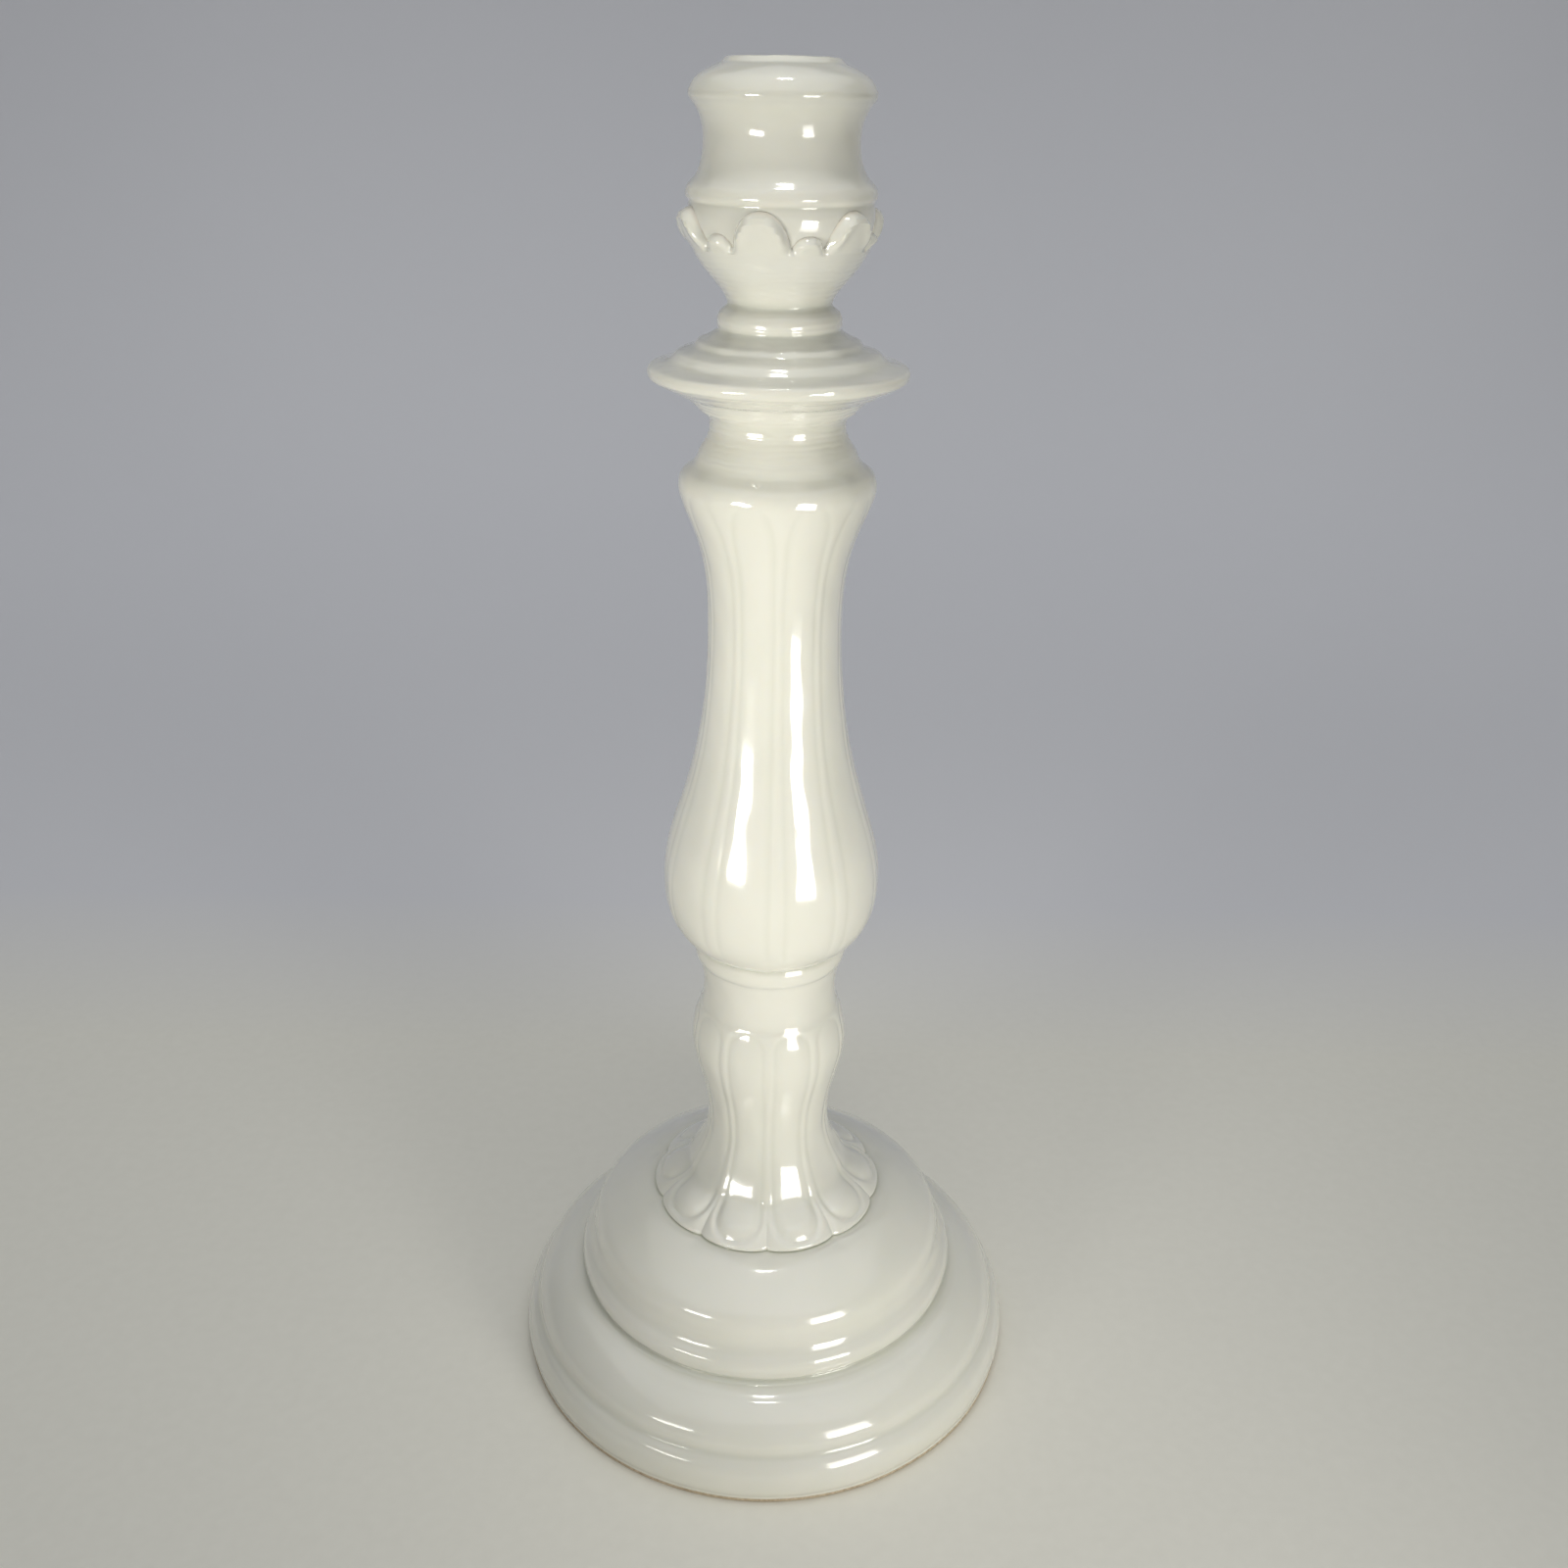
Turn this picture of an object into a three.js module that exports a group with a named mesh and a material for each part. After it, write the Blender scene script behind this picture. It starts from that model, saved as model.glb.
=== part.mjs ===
// A tall ceramic candlestick, in millimetres, +Z up.
// The origin is the centre of the resting face, on the surface that the candlestick stands on.
// Angles run round the axis from the front (-Y) towards the right (+X).
//
// The body is made of hollow sections that stand on each other. Each section has a short tubular
// tenon that enters the bore of its neighbour, and a thin slip joint is left clear between the two.

import * as THREE from "three";

// ---- Driving dimensions ----

const TOTAL_HEIGHT = 355;
const FOOT_RADIUS = 73;
const FOOT_TOP = 26; // seat of the dome on the lower tier
const DOME_TOP = 50.9; // seat of the stem on the dome
const STEM_TOP = 130; // seat of the collar ring on the stem
const SHAFT_BASE = 136; // underside of the baluster shaft
const SHAFT_TOP = 269.4; // seat of the neck on the shaft
const NECK_TOP = 283; // seat of the drip pan on the neck
const PAN_TOP = 298; // seat of the socket ring on the drip pan
const CALYX_BASE = 304; // underside of the leaf calyx
const CUP_BASE = 308.6; // underside of the candle cup inside the calyx
const CUP_TOP = 346; // seat of the rim cap on the candle cup

const CANDLE_RADIUS = 10.9; // bore for a 22 mm taper, whose foot narrows a little
const SOCKET_FLOOR = 327; // the candle stands on this floor

const SLIP_GAP = 0.3; // slip joint between neighbouring sections
const LOWER_TENON_RADIUS = 12.6; // tenons under the shaft and under the neck
const LOWER_BORE_RADIUS = LOWER_TENON_RADIUS + SLIP_GAP;
const UPPER_TENON_RADIUS = 9.5; // tenon on the drip pan, which carries the socket
const UPPER_BORE_RADIUS = UPPER_TENON_RADIUS + SLIP_GAP;
const CAP_TUBE_RADIUS = 12.9; // outside of the rim cap's tube
const CAP_TUBE_FOOT = 336; // shoulder in the cup that the tube stops above

const FLUTES = 10; // panels on the shaft, and petals on the stem
const SHAFT_RIB_ANGLE = THREE.MathUtils.degToRad(3.5);
const STEM_RIB_ANGLE = THREE.MathUtils.degToRad(1);
const TALL_LEAVES = 6; // with a small leaf between each two
const TALL_LEAF_ANGLE = THREE.MathUtils.degToRad(-12);

const ROUND_FACETS = 24; // facets round a plain section
const FOOT_FACETS = 36; // facets round the two tiers of the foot
const FLUTED_FACETS = 4 * FLUTES; // a rib, a groove, a crown and a groove on each flute
const CALYX_FACETS = 8 * TALL_LEAVES;
const CURVE_STEPS = 4; // facets along each curve of an outline
const MARGIN = 0.1; // tells an inside wall from the outside

// ---- Glaze ----

const CREAM_GLAZE = { color: 0xe4e0d2, roughness: 0.08, metalness: 0 };

// ---- Outlines and turned sections ----

// An outline is drawn in the (radius, height) half-plane, up the outside and down the inside.
function startOutline(radius, height) {
  return new THREE.Path().moveTo(radius, height);
}

// Turns points of the half-plane round the axis. They close on themselves, so the section is hollow.
function turnPoints(points, facets) {
  const geometry = new THREE.LatheGeometry([...points, points[0].clone()], facets);
  geometry.rotateX(Math.PI / 2);
  return geometry;
}

function turn(outline, facets) {
  return turnPoints(outline.getPoints(CURVE_STEPS), facets);
}

// Changes each point of a turned section: change(radius, height, angle) gives [radius, height].
function reshape(geometry, change) {
  const places = geometry.getAttribute("position");
  for (let i = 0; i < places.count; i += 1) {
    const x = places.getX(i);
    const y = places.getY(i);
    const radius = Math.hypot(x, y);
    const [newRadius, newHeight] = change(radius, places.getZ(i), Math.atan2(x, -y));
    const scale = radius > 0 ? newRadius / radius : 1;
    places.setXYZ(i, x * scale, y * scale, newHeight);
  }
  geometry.computeVertexNormals();
  return geometry;
}

// How far an angle is from the nearest of some evenly spaced middles: 0 on one, 1 halfway between.
function offMiddle(angle, count) {
  const turns = (angle * count) / (2 * Math.PI);
  return Math.abs(turns - Math.round(turns)) * 2;
}

// Runs smoothly from 0 at start to 1 at end, whichever of the two is the larger.
function ramp(start, end, value) {
  return THREE.MathUtils.smoothstep((value - start) / (end - start), 0, 1);
}

// Turns a section whose outside has a groove on each side of ten ribs. depth(height) gives how far
// the outside is cut back in a groove.
function flute(outside, inside, depth) {
  const outsidePoints = outside.getPoints(CURVE_STEPS);
  const narrowest = Math.min(...outsidePoints.slice(1).map((point) => point.x));
  const geometry = turnPoints([...outsidePoints, ...inside.getPoints(CURVE_STEPS)], FLUTED_FACETS);
  return reshape(geometry, (radius, height, angle) => {
    const side = offMiddle(angle, FLUTES);
    const groove = ramp(0, 0.4, side) * ramp(1, 0.6, side);
    return [radius < narrowest - MARGIN ? radius : radius - groove * depth(height), height];
  });
}

// ---- Foot ----

// Lower tier: a rounded lip, a groove, a swelling band, and a seat for the dome.
function footBase() {
  const inside = 62;
  const seatInside = 50.5;
  return turn(
    startOutline(inside, 0)
      .lineTo(FOOT_RADIUS - 2.4, 0)
      .bezierCurveTo(FOOT_RADIUS + 0.9, 2.5, FOOT_RADIUS + 1.4, 9.5, 69.9, 12.7)
      .lineTo(69.2, 14)
      .bezierCurveTo(69.2, 17, 67.6, 18.9, 65.4, 20.9)
      .bezierCurveTo(63.4, 22.7, 60.6, 24.7, 57, FOOT_TOP - 0.9)
      .lineTo(55.6, FOOT_TOP)
      .lineTo(seatInside, FOOT_TOP)
      .lineTo(seatInside, FOOT_TOP - 6)
      .bezierCurveTo(56.5, 18, 60.5, 12, inside, 4),
    FOOT_FACETS,
  );
}

// Upper tier: a bead, a hollow sweep and a domed top, with a tenon that drops into the lower tier.
function footDome() {
  const base = FOOT_TOP + SLIP_GAP;
  const tenonBase = FOOT_TOP - 4;
  const tenonOutside = 50.2;
  const stemBore = 22.4;
  return turn(
    startOutline(tenonOutside, tenonBase)
      .lineTo(tenonOutside, base)
      .lineTo(54.9, base)
      .bezierCurveTo(56.8, base + 1.5, 56.8, base + 5, 54.6, base + 6.6)
      .bezierCurveTo(52.4, base + 8.4, 51.4, base + 10.4, 51.3, 39.6)
      .bezierCurveTo(51.1, 42.6, 49.7, 44.4, 46.4, 46.2)
      .bezierCurveTo(43, 48.2, 39.2, 50.4, 35.8, DOME_TOP)
      .lineTo(stemBore, DOME_TOP)
      .lineTo(stemBore, DOME_TOP - 6)
      .bezierCurveTo(35, DOME_TOP - 6, 42.5, 42, 45.5, tenonBase),
    FOOT_FACETS,
  );
}

// ---- Stem ----

// Plain neck, reeded knop, waist, and the flare that ends in ten petals lying on the dome.
function petalledStem() {
  const base = DOME_TOP + SLIP_GAP;
  const tenonBase = DOME_TOP - 5;
  const tenonOutside = 22.1;
  const tenonInside = 17;
  const outside = startOutline(tenonOutside, base)
    .lineTo(31.4, base)
    .bezierCurveTo(32.8, base + 1.2, 32.2, base + 3.4, 28.8, 56.6)
    .bezierCurveTo(26.5, 57.9, 24.5, 58.8, 23.1, 60.7)
    .bezierCurveTo(21.2, 64, 17.6, 70, 17.4, 77)
    .bezierCurveTo(17.2, 89, 21.9, 96, 21.9, 105)
    .bezierCurveTo(21.9, 111, 18.5, 115, 18.5, 121)
    .bezierCurveTo(18.5, 124.5, 19.2, 127, 20.1, STEM_TOP);
  const inside = startOutline(LOWER_BORE_RADIUS, STEM_TOP)
    .lineTo(LOWER_BORE_RADIUS, 118)
    .lineTo(15.6, 105)
    .lineTo(12.4, 88)
    .lineTo(12.8, 74)
    .lineTo(tenonInside, 60)
    .lineTo(tenonInside, tenonBase)
    .lineTo(tenonOutside, tenonBase);
  const geometry = flute(outside, inside, (height) => {
    const onKnop = 0.4 * ramp(116, 110, height);
    const onPetals = 0.5 * ramp(80, 58, height) * ramp(base, base + 1, height);
    return onKnop + onPetals;
  });
  return geometry.rotateZ(STEM_RIB_ANGLE);
}

function collarRing() {
  const base = STEM_TOP + SLIP_GAP;
  const top = SHAFT_BASE - SLIP_GAP;
  return turn(
    startOutline(LOWER_BORE_RADIUS, base)
      .lineTo(20, base)
      .bezierCurveTo(22, base + 1.2, 22, base + 4.2, 20.4, top)
      .lineTo(LOWER_BORE_RADIUS, top),
    ROUND_FACETS,
  );
}

// ---- Shaft ----

// Baluster: a round-bellied vase that rises to a waist and a shoulder, with ten rounded panels.
function balusterShaft() {
  const tenonBase = SHAFT_BASE - 14;
  const tenonInside = 9;
  const outside = startOutline(LOWER_TENON_RADIUS, SHAFT_BASE)
    .lineTo(20.4, SHAFT_BASE)
    .bezierCurveTo(25.2, 139.1, 29, 144.6, 29, 156)
    .bezierCurveTo(29, 173, 17, 184, 16.9, 228)
    .bezierCurveTo(16.9, 248.6, 22.2, 252.5, 24.1, 261)
    .bezierCurveTo(24.2, 264.6, 21, 267.5, 18.9, SHAFT_TOP);
  const inside = startOutline(LOWER_BORE_RADIUS, SHAFT_TOP)
    .lineTo(LOWER_BORE_RADIUS, 258)
    .lineTo(11.6, 236)
    .lineTo(12, 205)
    .lineTo(17, 168)
    .lineTo(17, 152)
    .lineTo(tenonInside, 142)
    .lineTo(tenonInside, tenonBase)
    .lineTo(LOWER_TENON_RADIUS, tenonBase);
  const grooveDepth = 0.3;
  const geometry = flute(outside, inside, (height) => {
    return grooveDepth * ramp(138, 145, height) * ramp(259, 253, height);
  });
  return geometry.rotateZ(SHAFT_RIB_ANGLE);
}

// ---- Neck and drip pan ----

// Waisted neck that flares under the pan, and a tenon that enters the shaft.
function neck() {
  const base = SHAFT_TOP + SLIP_GAP;
  const tenonBase = SHAFT_TOP - 9;
  const bore = 8.6;
  const panBore = 10.3;
  return turn(
    startOutline(bore, tenonBase)
      .lineTo(LOWER_TENON_RADIUS, tenonBase)
      .lineTo(LOWER_TENON_RADIUS, base)
      .lineTo(18.6, base)
      .bezierCurveTo(17.4, 271, 15.6, 274.2, 16.5, 277.6)
      .bezierCurveTo(17.2, 278.8, 18.6, 279.4, 19.4, 280.3)
      .bezierCurveTo(20.1, 281.2, 21.1, 282, 22.2, NECK_TOP)
      .lineTo(panBore, NECK_TOP)
      .lineTo(panBore, NECK_TOP - 5.4)
      .lineTo(bore, NECK_TOP - 7),
    ROUND_FACETS,
  );
}

// Drip pan: a stepped cone with a rounded edge, a hollow underside, and a tenon at each end.
function dripPan() {
  const base = NECK_TOP + SLIP_GAP;
  const lowerTenonRadius = 10;
  const lowerTenonBase = NECK_TOP - 5;
  const upperTenonTop = CALYX_BASE + 4;
  const vent = 5;
  return turn(
    startOutline(vent, lowerTenonBase)
      .lineTo(lowerTenonRadius, lowerTenonBase)
      .lineTo(lowerTenonRadius, base)
      .lineTo(22.2, base)
      .bezierCurveTo(24, 283.9, 25.6, 284.6, 27.2, 285.5)
      .bezierCurveTo(30.6, 286.9, 31.4, 288.6, 30.2, 289.8)
      .lineTo(27.8, 290.4)
      .lineTo(25.1, 291.5)
      .bezierCurveTo(24.5, 292.7, 23.2, 293.2, 21.9, 293.6)
      .bezierCurveTo(19.8, 294.9, 17, 295.6, 15, PAN_TOP)
      .lineTo(UPPER_TENON_RADIUS, PAN_TOP)
      .lineTo(UPPER_TENON_RADIUS, upperTenonTop)
      .lineTo(vent, upperTenonTop),
    ROUND_FACETS,
  );
}

// ---- Candle socket ----

function socketRing() {
  const base = PAN_TOP + SLIP_GAP;
  const top = CALYX_BASE - SLIP_GAP;
  return turn(
    startOutline(UPPER_BORE_RADIUS, base)
      .lineTo(13.9, base)
      .bezierCurveTo(15, base + 1.4, 14.4, base + 4, 12.2, top)
      .lineTo(UPPER_BORE_RADIUS, top),
    ROUND_FACETS,
  );
}

// Leaf calyx: a tapered bowl whose edge is cut into rounded leaves that curl outwards.
function leafCalyx() {
  const bowlTop = 316;
  const tipTop = 325;
  const smallTop = 320.8;
  const valley = 317;
  const geometry = turn(
    startOutline(UPPER_BORE_RADIUS, CALYX_BASE)
      .lineTo(12.2, CALYX_BASE)
      .bezierCurveTo(13.4, 306.4, 17.4, 310.6, 19.1, 313.6)
      .lineTo(20.3, bowlTop)
      .bezierCurveTo(21.4, 319.5, 22.6, 321, 23.2, tipTop - 1.6)
      .lineTo(22.9, tipTop)
      .lineTo(21.7, tipTop)
      .lineTo(20.9, 320)
      .lineTo(18.9, bowlTop)
      .lineTo(13.6, CUP_BASE - SLIP_GAP)
      .lineTo(UPPER_BORE_RADIUS, CUP_BASE - SLIP_GAP),
    CALYX_FACETS,
  );
  reshape(geometry, (radius, height, angle) => {
    const fromTall = offMiddle(angle, TALL_LEAVES);
    const fromSmall = 1 - fromTall;
    const tallReach = (tipTop - valley) * ramp(0.72, 0.3, fromTall);
    const smallReach = (smallTop - valley) * ramp(0.32, 0.1, fromSmall);
    const edge = valley + Math.max(tallReach, smallReach);
    const share = Math.max(0, height - bowlTop) / (tipTop - bowlTop);
    return [radius, height > bowlTop ? bowlTop + share * (edge - bowlTop) : height];
  });
  return geometry.rotateZ(TALL_LEAF_ANGLE);
}

// Candle cup: the blind bore for the candle, a waisted wall and a rounded belt above the leaves.
function candleCup() {
  const hollow = 10;
  return turn(
    startOutline(hollow, CUP_BASE)
      .lineTo(12.6, CUP_BASE)
      .lineTo(18, 315.4)
      .lineTo(20, 320.4)
      .lineTo(20.7, 326)
      .bezierCurveTo(22.4, 326.6, 21.9, 329.4, 20.2, 330.2)
      .bezierCurveTo(17.6, 332.6, 16.6, 340, 19.9, CUP_TOP)
      .lineTo(CAP_TUBE_RADIUS + SLIP_GAP, CUP_TOP)
      .lineTo(CAP_TUBE_RADIUS + SLIP_GAP, CAP_TUBE_FOOT)
      .lineTo(CANDLE_RADIUS, CAP_TUBE_FOOT)
      .lineTo(CANDLE_RADIUS, SOCKET_FLOOR)
      .lineTo(0, SOCKET_FLOOR)
      .lineTo(0, 322)
      .lineTo(hollow, 319),
    ROUND_FACETS,
  );
}

// Rim cap: a domed flange with a raised lip, on a tube that lines the top of the candle bore.
function rimCap() {
  const base = CUP_TOP + SLIP_GAP;
  const tubeBase = CAP_TUBE_FOOT + SLIP_GAP;
  return turn(
    startOutline(CANDLE_RADIUS, tubeBase)
      .lineTo(CAP_TUBE_RADIUS, tubeBase)
      .lineTo(CAP_TUBE_RADIUS, base)
      .lineTo(20.3, base)
      .bezierCurveTo(21.1, base + 0.6, 21.1, base + 1.6, 20.5, 348.7)
      .bezierCurveTo(19.8, 350.8, 16.8, 352.2, 13.1, 353.2)
      .lineTo(12, TOTAL_HEIGHT)
      .lineTo(CANDLE_RADIUS + 0.3, TOTAL_HEIGHT)
      .lineTo(CANDLE_RADIUS, TOTAL_HEIGHT - 0.4),
    ROUND_FACETS,
  );
}

// ---- Assembly ----

const sections = {
  foot_base: footBase,
  foot_dome: footDome,
  petalled_stem: petalledStem,
  collar_ring: collarRing,
  baluster_shaft: balusterShaft,
  neck: neck,
  drip_pan: dripPan,
  socket_ring: socketRing,
  leaf_calyx: leafCalyx,
  candle_cup: candleCup,
  rim_cap: rimCap,
};

const candlestick = new THREE.Group();
for (const [name, makeGeometry] of Object.entries(sections)) {
  const mesh = new THREE.Mesh(makeGeometry(), new THREE.MeshStandardMaterial(CREAM_GLAZE));
  mesh.name = name;
  candlestick.add(mesh);
}

export default candlestick;
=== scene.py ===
"""A tall cream-glazed ceramic candlestick, as eleven sections joined with slip.

The shape is written in millimetres, which become metres when a mesh is made. Angles run round the
axis from the front (-Y) towards the right (+X), in degrees. Materials, lamps and camera are in metres.
"""

import math

import bpy
import numpy as np
from mathutils import Matrix, Vector


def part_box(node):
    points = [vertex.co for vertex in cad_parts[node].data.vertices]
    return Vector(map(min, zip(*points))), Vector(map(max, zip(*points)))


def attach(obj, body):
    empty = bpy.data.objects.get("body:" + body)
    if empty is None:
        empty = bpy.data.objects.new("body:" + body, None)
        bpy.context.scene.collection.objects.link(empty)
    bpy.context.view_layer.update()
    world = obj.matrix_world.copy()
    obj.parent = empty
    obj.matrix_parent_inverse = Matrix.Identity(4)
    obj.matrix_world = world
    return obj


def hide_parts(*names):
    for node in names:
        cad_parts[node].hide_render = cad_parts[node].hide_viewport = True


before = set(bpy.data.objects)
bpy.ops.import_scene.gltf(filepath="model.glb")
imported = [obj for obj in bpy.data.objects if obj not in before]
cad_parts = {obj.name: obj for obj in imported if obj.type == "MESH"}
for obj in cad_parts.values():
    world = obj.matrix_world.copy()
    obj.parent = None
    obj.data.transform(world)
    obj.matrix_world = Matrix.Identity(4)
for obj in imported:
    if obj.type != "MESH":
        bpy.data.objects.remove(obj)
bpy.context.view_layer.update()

MM = 0.001

# ---- Shape of the glazed surface ----

STEP = 0.1  # spacing of the points that an outline is worked out on
GLAZE_SOFTENING = 0.38  # how far the glaze rounds corners and fills creases
ROW_LENGTH = 1.1  # a new row of faces after this length,
ROW_TURN = 7.0  # or after the outline has turned by this many degrees
WALL_ROW_LENGTH = 6.0  # rows on the hidden inside walls
PLAIN_COLUMNS = 240  # points round a plain section,
FLUTED_COLUMNS = 360  # one with panels
LEAF_COLUMNS = 480  # and the one with leaves
ROUNDING_ERROR = 1e-9  # more than adding up the lengths of a line can be out by

FLUTES = 10  # panels on the shaft, and petals on the stem
FLUTE_PITCH = 360 / FLUTES
SHAFT_RIB = 3.5  # angle of one rib on the shaft
STEM_RIB = 1.0  # angle of one rib on the stem
RIB_HALF_ANGLE = 4.6  # from the middle of a rib to the groove beside it
SHAFT_DEPTH = 0.1  # depth of the grooves on the shaft,
KNOP_DEPTH = 0.2  # on the knop,
PETAL_DEPTH = 0.38  # and what is added to it round the end of a petal
PETAL_NOTCH = 1.7  # how far the petals' end line steps in between two petals
PETAL_FLATTENING = 0.45  # how far the middle of a petal is in from a round one
PETAL_SWELLING = 0.6  # how far a petal swells above its end,
SWELLING_HEIGHT = 5.5  # at this height
SWELLING_WIDTH = 2.6
GROOVE_WIDTH = 1.0  # of the outer side of a groove
NO_ARCH = -1  # stands for the missing arch of a panel that runs on
CUSP_LIMIT = 0.985  # keeps the notch between two petals from ending in a cusp

# Stretches over which the relief comes in, from none to full. Each is above the section's seat or
# below its top.
SHAFT_ABOVE_SEAT = (2, 11)
SHAFT_BELOW_TOP = (4, 7)
STEM_ABOVE_SEAT = (0.8, 2.6)
STEM_BELOW_TOP = (14.6, 16.0)
FLATTENING_ABOVE_SEAT = (28, 10)
PETAL_END_ABOVE_SEAT = (13, 5)
NOTCH_ABOVE_SEAT = (11, 5)
NOTCH_RADII = (38.5, 34.0)  # where the notch is pressed into the dome,
NOTCH_BELOW_SEAT = 2  # no lower than this

# Where the arched end of a panel starts, and how high the arch is.
SHOULDER_ARCH = (20.5, 13.5)  # below the shaft's top
KNOP_ARCH = (20.0, 4.5)  # below the stem's top
PETAL_ARCH = (7.0, 4.5)  # above the stem's seat

LEAVES = 6  # tall leaves, with a small leaf between each two
LEAF_PITCH = 360 / LEAVES
TALL_LEAF = -12.0  # angle of one tall leaf
LEAF_FOOT = 12.1  # height of the leaves' foot above the calyx's seat
LEAF_HEIGHT = 8.95  # of a tall leaf above that
SMALL_LEAF_SHARE = 0.34  # height of a small leaf as a share of a tall one
VALLEY_HEIGHT = 1.3  # height of the edge between two leaves
TALL_HALF_ANGLE = 19.0  # half of the angle that a tall leaf takes up,
SMALL_HALF_ANGLE = 10.5  # and of a small one's
LEAF_SQUARENESS = 2.4  # powers that shape the outline of a leaf
LEAF_FULLNESS = 0.8
LEAF_RADIUS = 20.7  # radius at which the leaves are unrolled
EDGE_SEARCH_ANGLE = 24  # the edge nearest to a point is looked for this far to each side,
EDGE_SEARCH_STEPS = 193  # in this many steps
LEAF_ROUNDING = 2.3  # width of the rounding along a leaf's edge,
ROUNDING_POWER = 2.2  # and how full it is
ROLL_HEIGHT = 0.55  # soft roll along a leaf's edge,
ROLL_INSET = 2.0  # this far in from it
ROLL_WIDTH = 1.1
ROLL_FADE = (0.5, 3.0)  # rise over which the roll comes in
LEAF_CLEARANCE = 0.02  # between the leaves and the cup
# (rise above the leaves' foot, radius) along the face of a leaf
LEAF_FACE = [(0, 20.4), (1.5, 21.5), (3, 22.35), (4.5, 22.95), (6, 23.35), (7.5, 23.55), (9, 23.6)]

RING_PITCH = 1.9  # turning rings on the neck, the drip pan and the calyx
RING_DEPTH = 0.035
RING_DRIFT = 0.8  # how far the rings stray from even spacing, in radians of their turn,
RING_DRIFT_RATE = 0.9  # in a slow wave of this many radians per millimetre
RINGS_ABOVE_NECK_SEAT = (-4, 2)  # heights over which the rings come in from below
RINGS_ABOVE_CALYX_SEAT = (13, 9)  # and from above
# Slow waves of the surface: how many go round, radians per millimetre of height, phase and depth.
WOBBLE = [(3, 0.11, 0, 0.05), (7, -0.23, 1.3, 0.035), (13, 0.41, 2.1, 0.02)]
FLAT_BELOW = 2  # the resting ring is kept flat below this height

CREASE_POOL_AND_SHADE = 0.9  # how much a crease of the outline is darkened and tinted, as pooled glaze and painted shade,
CREASE_WIDTH = 0.8  # over this width,
GROOVE_POOL_AND_SHADE = 0.2  # and in the grooves between panels, also pooled glaze and painted shade
SHARP_ANGLE = 30  # between two faces, where the shading breaks


def low(node):
    """Height of the lowest point of a CAD node, in millimetres."""
    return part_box(node)[0].z / MM


def high(node):
    """Height of the highest point of a CAD node, in millimetres."""
    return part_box(node)[1].z / MM


def ramp(start, end, value):
    """Runs smoothly from 0 at start to 1 at end, whichever of the two is the larger."""
    share = np.clip((value - start) / (end - start), 0, 1)
    return share * share * (3 - 2 * share)


def bump(middle, width, value):
    """A smooth hump of height 1."""
    return np.exp(-(((value - middle) / width) ** 2))


def off_middle(angle, pitch, first):
    """How many degrees an angle is from the nearest of some evenly spaced middles."""
    return np.abs((angle - first + pitch / 2) % pitch - pitch / 2)


# ---- Outlines ----

HALF_GAP = 0.15  # half of the slip gap between two CAD sections
STEM_TENON = 5.15  # from the stem's lowest point up to its seat

# Seats of the sections: the heights of the joints between them.
SEAT = {
    "foot_base": low("foot_base"),
    "foot_dome": high("foot_base") + HALF_GAP,
    "petalled_stem": low("petalled_stem") + STEM_TENON,
    "collar_ring": (high("petalled_stem") + low("collar_ring")) / 2,
    "baluster_shaft": high("collar_ring") + HALF_GAP,
    "neck": high("baluster_shaft") + HALF_GAP,
    "drip_pan": high("neck") + HALF_GAP,
    "socket_ring": low("socket_ring") - HALF_GAP,
    "leaf_calyx": low("leaf_calyx") - HALF_GAP,
    "candle_cup": low("candle_cup"),
    "rim_cap": high("candle_cup") + HALF_GAP,
}

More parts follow.
